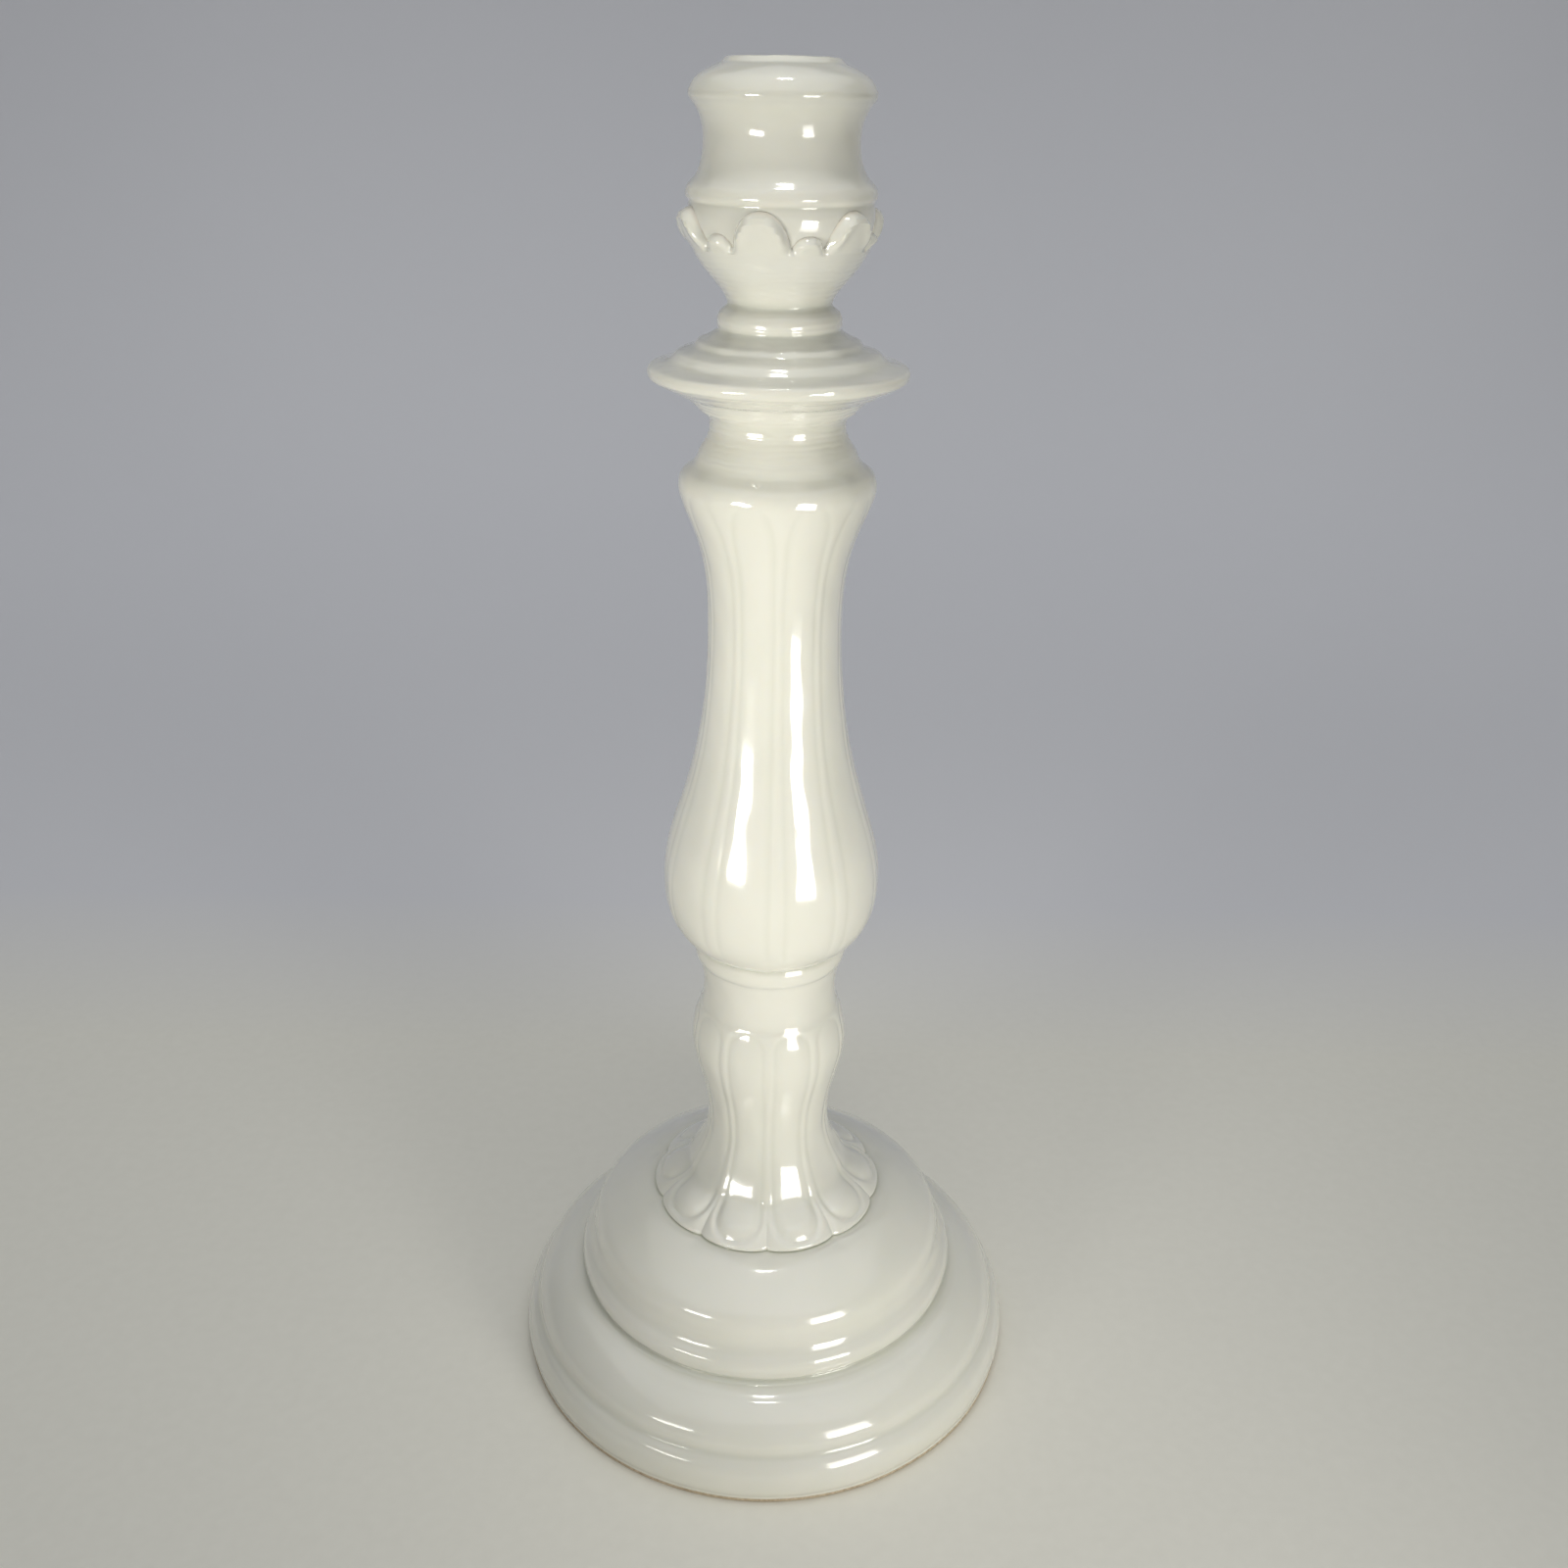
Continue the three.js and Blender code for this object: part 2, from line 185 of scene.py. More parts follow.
# Outlines of the glazed outside. Each section goes on from where the one below it ends. A pair is a
# straight move to (radius, height), and six numbers are a curve: two control points and its end.
# Heights are above the section's own seat.
BODY_START = (62, 0)  # inner edge of the ring that the foot stands on
BODY_SKIN = {
    "foot_base": [
        (72.5, 0),
        (72.7, 1.0),
        (72.2, 1.5),
        (73.3, 3.2, 74.1, 9.4, 70.4, 12.3),
        (69.6, 12.9, 69.2, 13.5, 69.2, 14.3),
        (69.2, 17.0, 67.6, 18.9, 65.4, 20.9),
        (63.9, 22.2, 62.2, 23.4, 60.2, 24.1),
        (59.4, 24.3),
        (58.4, 24.9, 57.0, 25.0, 55.8, 25.1),
        (54.6, 26.15),
    ],
    "foot_dome": [
        (55.9, 1.0, 56.1, 4.6, 54.2, 6.1),
        (52.4, 7.6, 51.8, 9.4, 51.6, 11.6),
        (51.4, 14.9, 50.3, 17.0, 47.0, 19.2),
        (43.7, 21.4, 39.4, 24.2, 35.8, 25.1),
        (34.8, 25.4, 33.4, 25.2, 32.6, 24.9),
    ],
    "petalled_stem": [
        (33.7, 0.3, 33.6, 1.3, 32.7, 1.9),
        (31.7, 2.8, 30.7, 4.2, 28.8, 5.5),
        (26.5, 6.9, 24.5, 7.8, 23.1, 9.7),
        (21.2, 13.0, 17.6, 19.0, 17.4, 26.0),
        (17.2, 38.0, 21.6, 45.0, 21.7, 53.5),
        (21.7, 57.5, 20.6, 60.8, 19.6, 63.8),
        (19.2, 64.3),
        (18.6, 66.2, 18.4, 68.2, 18.4, 70.5),
        (18.4, 73.5, 19.1, 76.1, 19.8, 79.1),
    ],
    "collar_ring": [
        (21.2, 1.2, 21.2, 4.2, 20.3, 5.7),
    ],
    "baluster_shaft": [
        (25.2, 3.0, 29.1, 8.4, 29.1, 20.0),
        (29.1, 37.5, 17.0, 48.0, 16.9, 92.0),
        (16.9, 112.8, 22.2, 116.6, 24.1, 125.0),
        (24.4, 128.0, 23.2, 129.1, 22.3, 129.8),
        (21.0, 130.6, 19.8, 131.4, 19.2, 133.55),
    ],
    "neck": [
        (18.7, 1.0, 17.9, 2.0, 17.2, 3.2),
        (16.4, 4.6, 16.0, 6.6, 16.6, 8.2),
        (17.3, 9.3, 18.6, 9.9, 19.4, 10.8),
        (20.1, 11.7, 21.1, 12.5, 22.5, 13.6),
    ],
    "drip_pan": [
        (24.2, 0.5, 25.6, 1.3, 27.2, 2.2),
        (29.6, 3.2, 30.9, 3.9, 30.9, 5.0),
        (30.9, 5.8, 30.8, 6.2, 30.2, 6.6),
        (29.4, 6.9, 28.6, 7.0, 27.9, 7.2),
        (26.8, 7.4, 25.8, 7.8, 25.2, 8.3),
        (24.8, 8.8, 24.5, 9.2, 23.9, 9.6),
        (22.8, 10.1, 21.0, 10.5, 19.7, 11.2),
        (19.4, 11.7, 19.3, 12.2, 18.7, 12.5),
        (17.4, 13.0, 15.2, 13.7, 14.3, 15.0),
    ],
    "socket_ring": [
        (14.7, 0.8, 14.9, 3.1, 13.7, 4.0),
        (13.1, 4.4, 12.9, 4.5, 12.7, 4.8),
        (12.4, 5.0, 12.2, 5.3, 12.1, 5.7),
    ],
    "leaf_calyx": [
        (12.3, 1.3, 13.8, 3.2, 15.9, 5.5),
        (17.7, 7.5, 19.2, 9.5, 20.4, 12.1),
        (21.4, 21.05),
        (20.9, 21.05),
        (19.6, 12.1),
        (18.9, 9.6, 15.4, 4.9, 13.4, 4.5),
    ],
}
SOCKET_SKIN = {
    "candle_cup": [
        (12.6, 0),
        (18.8, 7.2),
        (19.9, 9.2, 21.2, 11.6, 21.2, 14.7),
        (21.2, 16.0, 20.9, 16.7, 20.9, 17.2),
        (21.6, 17.5, 21.8, 18.1, 21.7, 19.0),
        (21.6, 20.1, 21.0, 20.7, 20.3, 21.3),
        (18.2, 23.2, 17.5, 26.8, 17.5, 30.0),
        (17.5, 33.4, 18.9, 36.0, 20.3, 37.55),
    ],
    "rim_cap": [
        (20.9, 0.5, 21.0, 1.3, 20.8, 2.1),
        (20.5, 2.6),
        (20.2, 3.4, 19.6, 4.4, 18.4, 5.2),
        (17.0, 6.1, 15.2, 6.9, 13.7, 7.45),
        (13.2, 7.7, 13.0, 8.45, 12.3, 8.75),
        (11.6, 8.95, 11.0, 8.5, 10.9, 7.6),
        (10.9, -9.85),
    ],
}

# Inside walls, from the end of the section's skin back to its start. Heights are above the seat.
WALLS = {
    "foot_base": [(50.5, 26.15), (50.5, 20), (56.5, 18, 60.5, 12, 62, 4)],
    "foot_dome": [
        (22.4, 24.9),
        (22.4, 18.7),
        (35, 18.7, 42.5, 15.9, 45.5, -4.1),
        (50.2, -4.1),
        (50.2, 0),
    ],
    "petalled_stem": [
        (12.9, 79.1),
        (12.9, 67),
        (15.6, 54),
        (12.4, 37),
        (12.8, 23),
        (17, 9),
        (17, -5.1),
        (22.1, -5.1),
        (22.1, 0),
    ],
    "collar_ring": [(12.9, 5.7), (12.9, 0)],
    "baluster_shaft": [
        (12.9, 133.55),
        (12.9, 122),
        (11.6, 100),
        (12, 69),
        (17.5, 34),
        (17.5, 16),
        (9, 6),
        (9, -14),
        (12.6, -14),
        (12.6, 0),
    ],
    "neck": [(10.3, 13.6), (10.3, 8), (8.6, 6.5), (8.6, -9.1), (12.6, -9.1), (12.6, 0)],
    "drip_pan": [(9.5, 15), (9.5, 24.8), (5, 24.8), (5, -5.1), (10, -5.1), (10, 0)],
    "socket_ring": [(9.8, 5.7), (9.8, 0)],
    "leaf_calyx": [(9.8, 4.5), (9.8, 0)],
    "candle_cup": [(13.2, 37.55), (13.2, 27.4), (10.9, 27.4), (10.9, 18.4), (0, 18.4)],
    "rim_cap": [(12.9, -9.85), (12.9, 0)],
}
CUP_UNDERSIDE = [(0, 13.4), (10, 10.4), (10, 0)]  # from the axis to the start of the skin

COLUMNS = {
    "petalled_stem": FLUTED_COLUMNS,
    "baluster_shaft": FLUTED_COLUMNS,
    "leaf_calyx": LEAF_COLUMNS,
}


def lifted(moves, seat):
    """Moves with their heights counted from the table instead of from the seat."""
    return [tuple(v + seat * (i % 2) for i, v in enumerate(move)) for move in moves]


def walk(start, moves, spacing):
    """Points along some moves from a start, about as far apart as the spacing."""
    path = [np.array([start], float)]
    here = np.array(start, float)
    for move in moves:
        corners = np.vstack([here, np.array(move, float).reshape(-1, 2)])
        reach = np.linalg.norm(np.diff(corners, axis=0), axis=1).sum()
        t = np.linspace(0, 1, max(2, math.ceil(reach / spacing) + 1))[1:, None]
        if len(corners) == 2:
            path.append(corners[0] + t * (corners[1] - corners[0]))
        else:
            weights = np.hstack([(1 - t) ** 3, 3 * t * (1 - t) ** 2, 3 * t * t * (1 - t), t**3])
            path.append(weights @ corners)
        here = corners[-1]
    return np.vstack(path)


def even(points, spacing):
    """The same line with its points at an even spacing, and the place of each old point on it."""
    along = np.append(0, np.cumsum(np.linalg.norm(np.diff(points, axis=0), axis=1)))
    places = np.linspace(0, along[-1], round(along[-1] / spacing) + 1)
    line = np.column_stack([np.interp(places, along, points[:, k]) for k in (0, 1)])
    return line, along / along[-1] * (len(places) - 1)


def softened(values, width):
    """Values along a line, averaged over a bell of this width in millimetres. The ends stay in place."""
    reach = math.ceil(3 * width / STEP)
    bell = np.exp(-0.5 * (np.arange(-reach, reach + 1) * STEP / width) ** 2)
    bell /= bell.sum()
    before = 2 * values[0] - values[reach:0:-1]
    after = 2 * values[-1] - values[-2 : -reach - 2 : -1]
    return np.convolve(np.concatenate([before, values, after]), bell, "valid")


class Skin:
    """A glazed outside that runs over several sections: its line, normals, creases and joints."""

    def __init__(self, start, sections):
        points = np.array([start], float)
        ends = []
        for node, moves in sections.items():
            points = np.vstack([points, walk(points[-1], lifted(moves, SEAT[node]), STEP)[1:]])
            ends.append(len(points) - 1)
        line, places = even(points, STEP)
        self.line = np.column_stack([softened(line[:, k], GLAZE_SOFTENING) for k in (0, 1)])
        slope = np.gradient(self.line, axis=0)
        slope /= np.linalg.norm(slope, axis=1)[:, None]
        self.normal = np.column_stack([slope[:, 1], -slope[:, 0]])
        heading = np.unwrap(np.arctan2(slope[:, 1], slope[:, 0]))
        self.turning = np.abs(np.gradient(heading))
        # how sharply the line bends inwards, which darkens the glaze there as pooled glaze and painted
        # shade
        self.crease = -softened(np.gradient(heading) / STEP, CREASE_WIDTH)
        cuts = [0] + [round(places[end]) for end in ends]
        self.runs = {node: (cuts[i], cuts[i + 1]) for i, node in enumerate(sections)}

    def rows(self, node):
        """Places of a section's rows on the line: close together where the line turns."""
        first, last = self.runs[node]
        cost = STEP / ROW_LENGTH + np.degrees(self.turning[first : last + 1]) / ROW_TURN
        total = np.cumsum(cost)
        wanted = np.linspace(total[0], total[-1], math.ceil(total[-1] - total[0]) + 1)
        return first + np.unique(np.searchsorted(total, wanted - ROUNDING_ERROR))


# ---- Relief ----


def panels(radius, side, over_top, over_end, depth, crown):
    """Rounded panels with narrow ribs between them, as a height above the plain surface, and how deep
    in a groove each point is, from 0 to 1. side is the angle from the nearest rib's middle. over_top
    and over_end say how far a point is past the start of a panel's arched end, 1 on the arch, or
    NO_ARCH. crown is the height of a panel's middle."""
    across = (FLUTE_PITCH / 2 - side) / (FLUTE_PITCH / 2 - RIB_HALF_ANGLE)
    half_width = np.radians(FLUTE_PITCH / 2 - RIB_HALF_ANGLE) * radius
    reach = np.sqrt(across**2 + np.maximum(over_top, 0) ** 2 + np.maximum(over_end, 0) ** 2)
    outside = np.maximum(reach - 1, 0) * half_width
    inside = np.minimum(reach, 1)
    groove = np.where(reach < 1, inside**4, bump(0, GROOVE_WIDTH, outside))
    return crown * (1 - inside**2) - depth * groove, groove


def shaft_relief(radius, height, angle):
    """Ten tall panels on the baluster, arched under the shoulder and fading out above the collar."""
    above_seat = height - SEAT["baluster_shaft"]
    below_top = SEAT["neck"] - height
    within = ramp(*SHAFT_ABOVE_SEAT, above_seat) * ramp(*SHAFT_BELOW_TOP, below_top)
    side = off_middle(angle, FLUTE_PITCH, SHAFT_RIB)
    start, rise = SHOULDER_ARCH
    lift, groove = panels(radius, side, (start - below_top) / rise, NO_ARCH, SHAFT_DEPTH * within, 0)
    return lift, groove * within


def stem_relief(radius, height, angle):
    """Ten panels that start at a ledge on the knop and end as swelling petals on the dome."""
    above_seat = height - SEAT["petalled_stem"]
    below_top = SEAT["collar_ring"] - height
    within = ramp(*STEM_ABOVE_SEAT, above_seat) * ramp(*STEM_BELOW_TOP, below_top)
    depth = (KNOP_DEPTH + PETAL_DEPTH * ramp(*PETAL_END_ABOVE_SEAT, above_seat)) * within
    swelling = PETAL_SWELLING * bump(SWELLING_HEIGHT, SWELLING_WIDTH, above_seat)
    crown = (swelling - PETAL_FLATTENING * ramp(*FLATTENING_ABOVE_SEAT, above_seat)) * within
    side = off_middle(angle, FLUTE_PITCH, STEM_RIB)
    over_top = (KNOP_ARCH[0] - below_top) / KNOP_ARCH[1]
    over_end = (PETAL_ARCH[0] - above_seat) / PETAL_ARCH[1]
    lift, groove = panels(radius, side, over_top, over_end, depth, crown)
    return lift, groove * within


def petal_notch(radius, height, angle):
    """How far the petals' end line moves in towards the axis between two petals."""
    above_seat = height - SEAT["petalled_stem"]
    across = 1 - off_middle(angle, FLUTE_PITCH, STEM_RIB) / (FLUTE_PITCH / 2)
    arc = 1 - np.sqrt(1 - np.minimum(across, CUSP_LIMIT) ** 2)
    on_stem = ramp(*NOTCH_ABOVE_SEAT, above_seat) * (above_seat >= 0)
    on_dome = ramp(*NOTCH_RADII, radius) * (above_seat < 0) * (above_seat > -NOTCH_BELOW_SEAT)
    return PETAL_NOTCH * arc * (on_stem + on_dome)


def turning_marks(height):
    """Faint rings left by the thrower's fingers on the neck, the drip pan and the calyx."""
    from_neck = ramp(*RINGS_ABOVE_NECK_SEAT, height - SEAT["neck"])
    to_leaves = ramp(*RINGS_ABOVE_CALYX_SEAT, height - SEAT["leaf_calyx"])
    drift = RING_DRIFT * np.sin(height * RING_DRIFT_RATE)
    return RING_DEPTH * from_neck * to_leaves * np.sin(height * 2 * math.pi / RING_PITCH + drift)


def hand_wobble(height, angle):
    """Slow unevenness of a hand-finished, glazed surface."""
    turn = np.radians(angle)
    total = 0
    for count, climb, phase, depth in WOBBLE:
        total = total + depth * np.sin(count * turn + climb * height + phase)
    return total


def leaf_edge(angle):
    """Height of the leaves' edge above their foot, at each angle."""
    tall_side = off_middle(angle, LEAF_PITCH, TALL_LEAF) / TALL_HALF_ANGLE
    small_side = off_middle(angle, LEAF_PITCH, TALL_LEAF + LEAF_PITCH / 2) / SMALL_HALF_ANGLE
    tall = np.maximum(1 - tall_side**LEAF_SQUARENESS, 0) ** LEAF_FULLNESS
    small = np.maximum(1 - small_side**LEAF_SQUARENESS, 0) ** LEAF_FULLNESS
    share = np.maximum(tall, SMALL_LEAF_SHARE * small)
    return VALLEY_HEIGHT + (LEAF_HEIGHT - VALLEY_HEIGHT) * share


def inside_edge(rise, angle):
    """How far each point of the leaves is from their edge, over the unrolled surface."""
    distance = np.full(rise.shape, np.inf)
    for step in np.linspace(-EDGE_SEARCH_ANGLE, EDGE_SEARCH_ANGLE, EDGE_SEARCH_STEPS):
        across = math.radians(step) * LEAF_RADIUS
        up = leaf_edge(angle + step) - rise
        distance = np.minimum(distance, np.hypot(across, up))
    return distance


def shape_leaves(radius, height, angle, cup):
    """Cuts the calyx's edge into leaves that lean on the cup, each with a soft roll along its edge."""
    foot = SEAT["leaf_calyx"] + LEAF_FOOT
    share = (height - foot) / LEAF_HEIGHT
    rise = share * leaf_edge(angle)
    shaped = np.where(share > 0, foot + rise, height)
    wall = np.interp(shaped, cup[:, 1], cup[:, 0])
    depth = inside_edge(rise, angle)
    rounding = 1 - (1 - np.minimum(depth / LEAF_ROUNDING, 1)) ** ROUNDING_POWER
    roll = ROLL_HEIGHT * bump(ROLL_INSET, ROLL_WIDTH, depth) * ramp(*ROLL_FADE, rise)
    face = np.interp(rise, *zip(*LEAF_FACE)) + roll
    outside = np.arange(len(height))[:, None] <= height[:, 0].argmax()
    on_cup = np.where(outside, wall + rounding * (face - wall), wall + LEAF_CLEARANCE)
    return np.where(share > 0, on_cup, radius), shaped


def surface(skin, rows, angle):
    """Radius, height and pooled glaze over the given rows of a skin, at each angle round the axis. The
    pooled glaze also paints shade into creases and grooves.
    """
    line, normal = skin.line[rows], skin.normal[rows]
    radius, height = line[:, :1], line[:, 1:]
    shaft_lift, shaft_groove = shaft_relief(radius, height, angle)
    stem_lift, stem_groove = stem_relief(radius, height, angle)
    lift = shaft_lift + stem_lift + turning_marks(height) + hand_wobble(height, angle)
    new_radius = radius + normal[:, :1] * lift - petal_notch(radius, height, angle)
    new_height = height + normal[:, 1:] * lift * (height > FLAT_BELOW)
    # creases and grooves get a darker, greener tone: pooled glaze, and painted shade
    glaze_pool_and_shade = CREASE_POOL_AND_SHADE * skin.crease[rows][:, None] + GROOVE_POOL_AND_SHADE * (shaft_groove + stem_groove)
    return new_radius, new_height, glaze_pool_and_shade


# ---- Meshes ----


def grid_mesh(name, radius, height, glaze_pool_and_shade, closed):
    """A mesh of rows round the axis. A closed one joins its last row to its first, and an open one
    starts and ends in a point on the axis."""
    rows, columns = radius.shape
    turn = np.linspace(0, 2 * math.pi, columns, endpoint=False)
    x, y = radius * np.sin(turn), -radius * np.cos(turn)
    points = np.stack([x, y, height], axis=-1).reshape(-1, 3) * MM
    glaze_pool_and_shade = glaze_pool_and_shade.reshape(-1)
    index = np.arange(rows * columns).reshape(rows, columns)
    lower = index if closed else index[:-1]
    upper = np.roll(index, -1, axis=0) if closed else index[1:]
    quads = np.stack([lower, np.roll(lower, -1, axis=1), np.roll(upper, -1, axis=1), upper], axis=-1)
    faces = quads.reshape(-1, 4).tolist()
    if not closed:
        ends = np.array([[0, 0, height[0, 0] * MM], [0, 0, height[-1, 0] * MM]])
        start, end = len(points), len(points) + 1
        points = np.vstack([points, ends])
        glaze_pool_and_shade = np.append(glaze_pool_and_shade, [0, 0])
        following = np.roll(np.arange(columns), -1)
        faces += [[start, int(b), a] for a, b in enumerate(following)]
        last = index[-1]
        faces += [[int(last[a]), int(last[b]), end] for a, b in enumerate(following)]
    mesh = bpy.data.meshes.new(name)
    mesh.from_pydata(points.tolist(), [], faces)
    attribute = mesh.attributes.new("glaze_pool_and_shade", "FLOAT", "POINT")
    attribute.data.foreach_set("value", glaze_pool_and_shade.astype(np.float32))
    mesh.polygons.foreach_set("use_smooth", [True] * len(mesh.polygons))
    mesh.set_sharp_from_angle(angle=math.radians(SHARP_ANGLE))
    mesh.update()
    piece = bpy.data.objects.new(name, mesh)
    bpy.context.collection.objects.link(piece)
    return piece


def wall_rows(points, columns):
    """Rows for a plain wall: radius, height and no pooled glaze or painted shade."""
    radius = np.repeat(points[:, :1], columns, axis=1)
    height = np.repeat(points[:, 1:], columns, axis=1)
    return radius, height, np.zeros_like(radius)


def section(name, skin, node, cup):
    """One ceramic section: its part of the glazed skin, closed by its inside walls."""
    columns = COLUMNS.get(node, PLAIN_COLUMNS)
    angle = np.linspace(0, 360, columns, endpoint=False)[None, :]
    outside = surface(skin, skin.rows(node), angle)
    rim = (outside[0][-1].mean(), outside[1][-1].mean())
    wall = walk(rim, lifted(WALLS[node], SEAT[node]), WALL_ROW_LENGTH)[1:]
    on_axis = node == "candle_cup"
    if on_axis:
        start, *moves = lifted(CUP_UNDERSIDE, SEAT[node])
        below = walk(start, moves, WALL_ROW_LENGTH)[1:-1]
        parts = [wall_rows(below, columns), outside, wall_rows(wall[:-1], columns)]
    else:
        parts = [outside, wall_rows(wall, columns)]
    radius, height, glaze_pool_and_shade = (np.vstack([part[k] for part in parts]) for k in range(3))
    if node == "leaf_calyx":
        radius, height = shape_leaves(radius, height, angle, cup)
    return grid_mesh(name, radius, height, glaze_pool_and_shade, closed=not on_axis)


# ---- Materials ----

# Colours: linear red, green and blue, and opacity. A pair is the two ends of a mottled tone.
GLAZE_TONES = (0.77, 0.765, 0.685, 1), (0.80, 0.79, 0.72, 1)
# darker and greener where glaze pools, which is also painted shade in creases and grooves
POOLED_GLAZE_AND_SHADE_TONE = (0.56, 0.57, 0.47, 1)
THIN_TONE = (0.72, 0.62, 0.50, 1)
IRON_TONE = (0.16, 0.11, 0.07, 1)
CLAY_TONES = (0.42, 0.33, 0.22, 1), (0.60, 0.50, 0.36, 1)
NEAR_FLOOR_TONES = (0.88, 0.86, 0.775, 1), (0.90, 0.88, 0.795, 1)
FAR_FLOOR_TONE = (0.80, 0.80, 0.83, 1)
ROOM_TONE = (0.80, 0.80, 0.84, 1)

# Noises: patches in a metre, and levels of finer detail.
CLOUDS = (38, 3)
GLOSS_PATCHES = (90, 2)
WAVES = (75, 1)
PEEL = (420, 2)
CLAY_GRAIN = (900, 4)
FLOOR_GRAIN = (260, 3)
NOISE_SPAN = (0.3, 0.7)  # the part of a noise's values that is spread over a whole range
CLAY_SPAN = (0.35, 0.65)

# Bumps: how strongly one shows, and how high it is in metres.
WAVE_BUMP = (0.35, 0.0004)
PEEL_BUMP = (0.18, 0.0001)
CLAY_BUMP = (0.4, 0.0002)

# Values of the pooled-glaze attribute between which a tint comes in, and the tint's full share. The
# darker pooled tint is partly painted shade in creases and grooves.
POOL_AND_SHADE_SPAN = (0.05, 0.8)
POOL_AND_SHADE_SHARE = 0.85
THIN_SPAN = (-0.45, -1.2)
THIN_SHARE = 0.5

SPECK_CELLS = 55  # cells in a metre, each of which may hold an iron speck
SPECK_CHOICE = (0.93, 0.94)  # about one cell in fifteen has a random value above these
SPECK_EDGE = (0.026, 0.014)  # from outside a speck to inside it, as a share of a cell

# Fine ridges among the turning rings on the neck, the drip pan and the calyx.
RIDGES = {"Scale": 260, "Distortion": 4, "Detail": 1, "Detail Scale": 0.6}
RIDGE_HEIGHT = 0.00003
RIDGES_START = (0.266, 0.270)  # heights over which they come in from below
RIDGES_END = (0.318, 0.312)  # and from above

GLAZE_ROUGHNESS = (0.10, 0.16)
CLAY_ROUGHNESS = (0.7, 0.95)
FLOOR_ROUGHNESS = 0.7
FLOOR_COOLING = (0.14, 0.26)  # distance behind the axis over which the floor turns cooler
GLAZE_SURFACE = {
    "IOR": 1.5,
    "Coat Weight": 0.8,
    "Coat Roughness": 0.03,
    "Subsurface Weight": 0.12,
    "Subsurface Radius": (0.0022, 0.0018, 0.0012),
    "Subsurface Scale": 1.0,
}

# Places of a Mix node's colour sockets, as several of its sockets share a name.
MIX_FIRST, MIX_SECOND, MIX_RESULT = 6, 7, 2


class Paint:
    """A material, and short ways to add nodes to it."""

    def __init__(self, name):
        self.material = bpy.data.materials.new(name)
        self.material.use_nodes = True
        self.nodes = self.material.node_tree.nodes
        self.shader = self.nodes["Principled BSDF"]
        self.place = self.nodes.new("ShaderNodeTexCoord").outputs["Object"]

    def feed(self, node, values):
        """Sets a node's inputs, each to a number, a colour or the output of another node."""
        for key, value in values.items():
            if isinstance(value, bpy.types.NodeSocket):
                self.material.node_tree.links.new(value, node.inputs[key])
            else:
                node.inputs[key].default_value = value

    def add(self, kind, values):
        """A new node with its inputs set."""
        node = self.nodes.new(kind)
        self.feed(node, values)
        return node

    def along(self, axis):
        """The object's own coordinate along an axis."""
        return self.add("ShaderNodeSeparateXYZ", {"Vector": self.place}).outputs[axis]

    def noise(self, scale, detail):
        """Noise over the object's own coordinates."""
        values = {"Vector": self.place, "Scale": scale, "Detail": detail}
        return self.add("ShaderNodeTexNoise", values).outputs["Fac"]

    def spread(self, value, start, end, least=0, most=1):
        """Maps a value from one range to another, and holds it there."""
        values = {"Value": value, "From Min": start, "From Max": end, "To Min": least, "To Max": most}
        return self.add("ShaderNodeMapRange", values).outputs["Result"]

    def product(self, first, second):
        """One value times another."""
        node = self.add("ShaderNodeMath", {0: first, 1: second})
        node.operation = "MULTIPLY"
        return node.outputs[0]

    def mixed(self, share, first, second):
        """Blends two colours by a share."""
        node = self.nodes.new("ShaderNodeMix")
        node.data_type = "RGBA"
        self.feed(node, {"Factor": share, MIX_FIRST: first, MIX_SECOND: second})
        return node.outputs[MIX_RESULT]

    def bumped(self, height, strength, distance, under=None):
        """A normal from a height, on top of another bump if one is given."""
        node = self.add("ShaderNodeBump", {"Height": height, "Strength": strength, "Distance": distance})
        if under is not None:
            self.feed(node, {"Normal": under})
        return node.outputs["Normal"]


def glaze_colour(paint):
    """Cream, greener and darker where the glaze pools, which also paints shade into creases and grooves,
    and warmer where it runs thin.
    """
    # how far the glaze pools; its darker tint is partly painted shade in creases and grooves
    depth = paint.nodes.new("ShaderNodeAttribute")
    depth.attribute_name = "glaze_pool_and_shade"
    clouded = paint.mixed(paint.spread(paint.noise(*CLOUDS), *NOISE_SPAN), *GLAZE_TONES)
    pool_and_shade_share = paint.spread(depth.outputs["Fac"], *POOL_AND_SHADE_SPAN, 0, POOL_AND_SHADE_SHARE)
    pooled_and_shaded = paint.mixed(pool_and_shade_share, clouded, POOLED_GLAZE_AND_SHADE_TONE)
    thin_share = paint.spread(depth.outputs["Fac"], *THIN_SPAN, 0, THIN_SHARE)
    return paint.mixed(thin_share, pooled_and_shaded, THIN_TONE)


def specks(paint):
    """1 inside the iron specks, and 0 outside."""
    cells = paint.add("ShaderNodeTexVoronoi", {"Vector": paint.place, "Scale": SPECK_CELLS})
    chance = paint.add("ShaderNodeSeparateColor", {"Color": cells.outputs["Color"]})
    chosen = paint.spread(chance.outputs["Red"], *SPECK_CHOICE)
    return paint.product(chosen, paint.spread(cells.outputs["Distance"], *SPECK_EDGE))


def ridges(paint, under):
    """A normal with the fine ridges, on top of another bump."""
    wave = paint.add("ShaderNodeTexWave", {"Vector": paint.place, **RIDGES})
    wave.bands_direction = "Z"
    height = paint.along("Z")
    within = paint.product(paint.spread(height, *RIDGES_START), paint.spread(height, *RIDGES_END))
    return paint.bumped(wave.outputs["Fac"], within, RIDGE_HEIGHT, under)


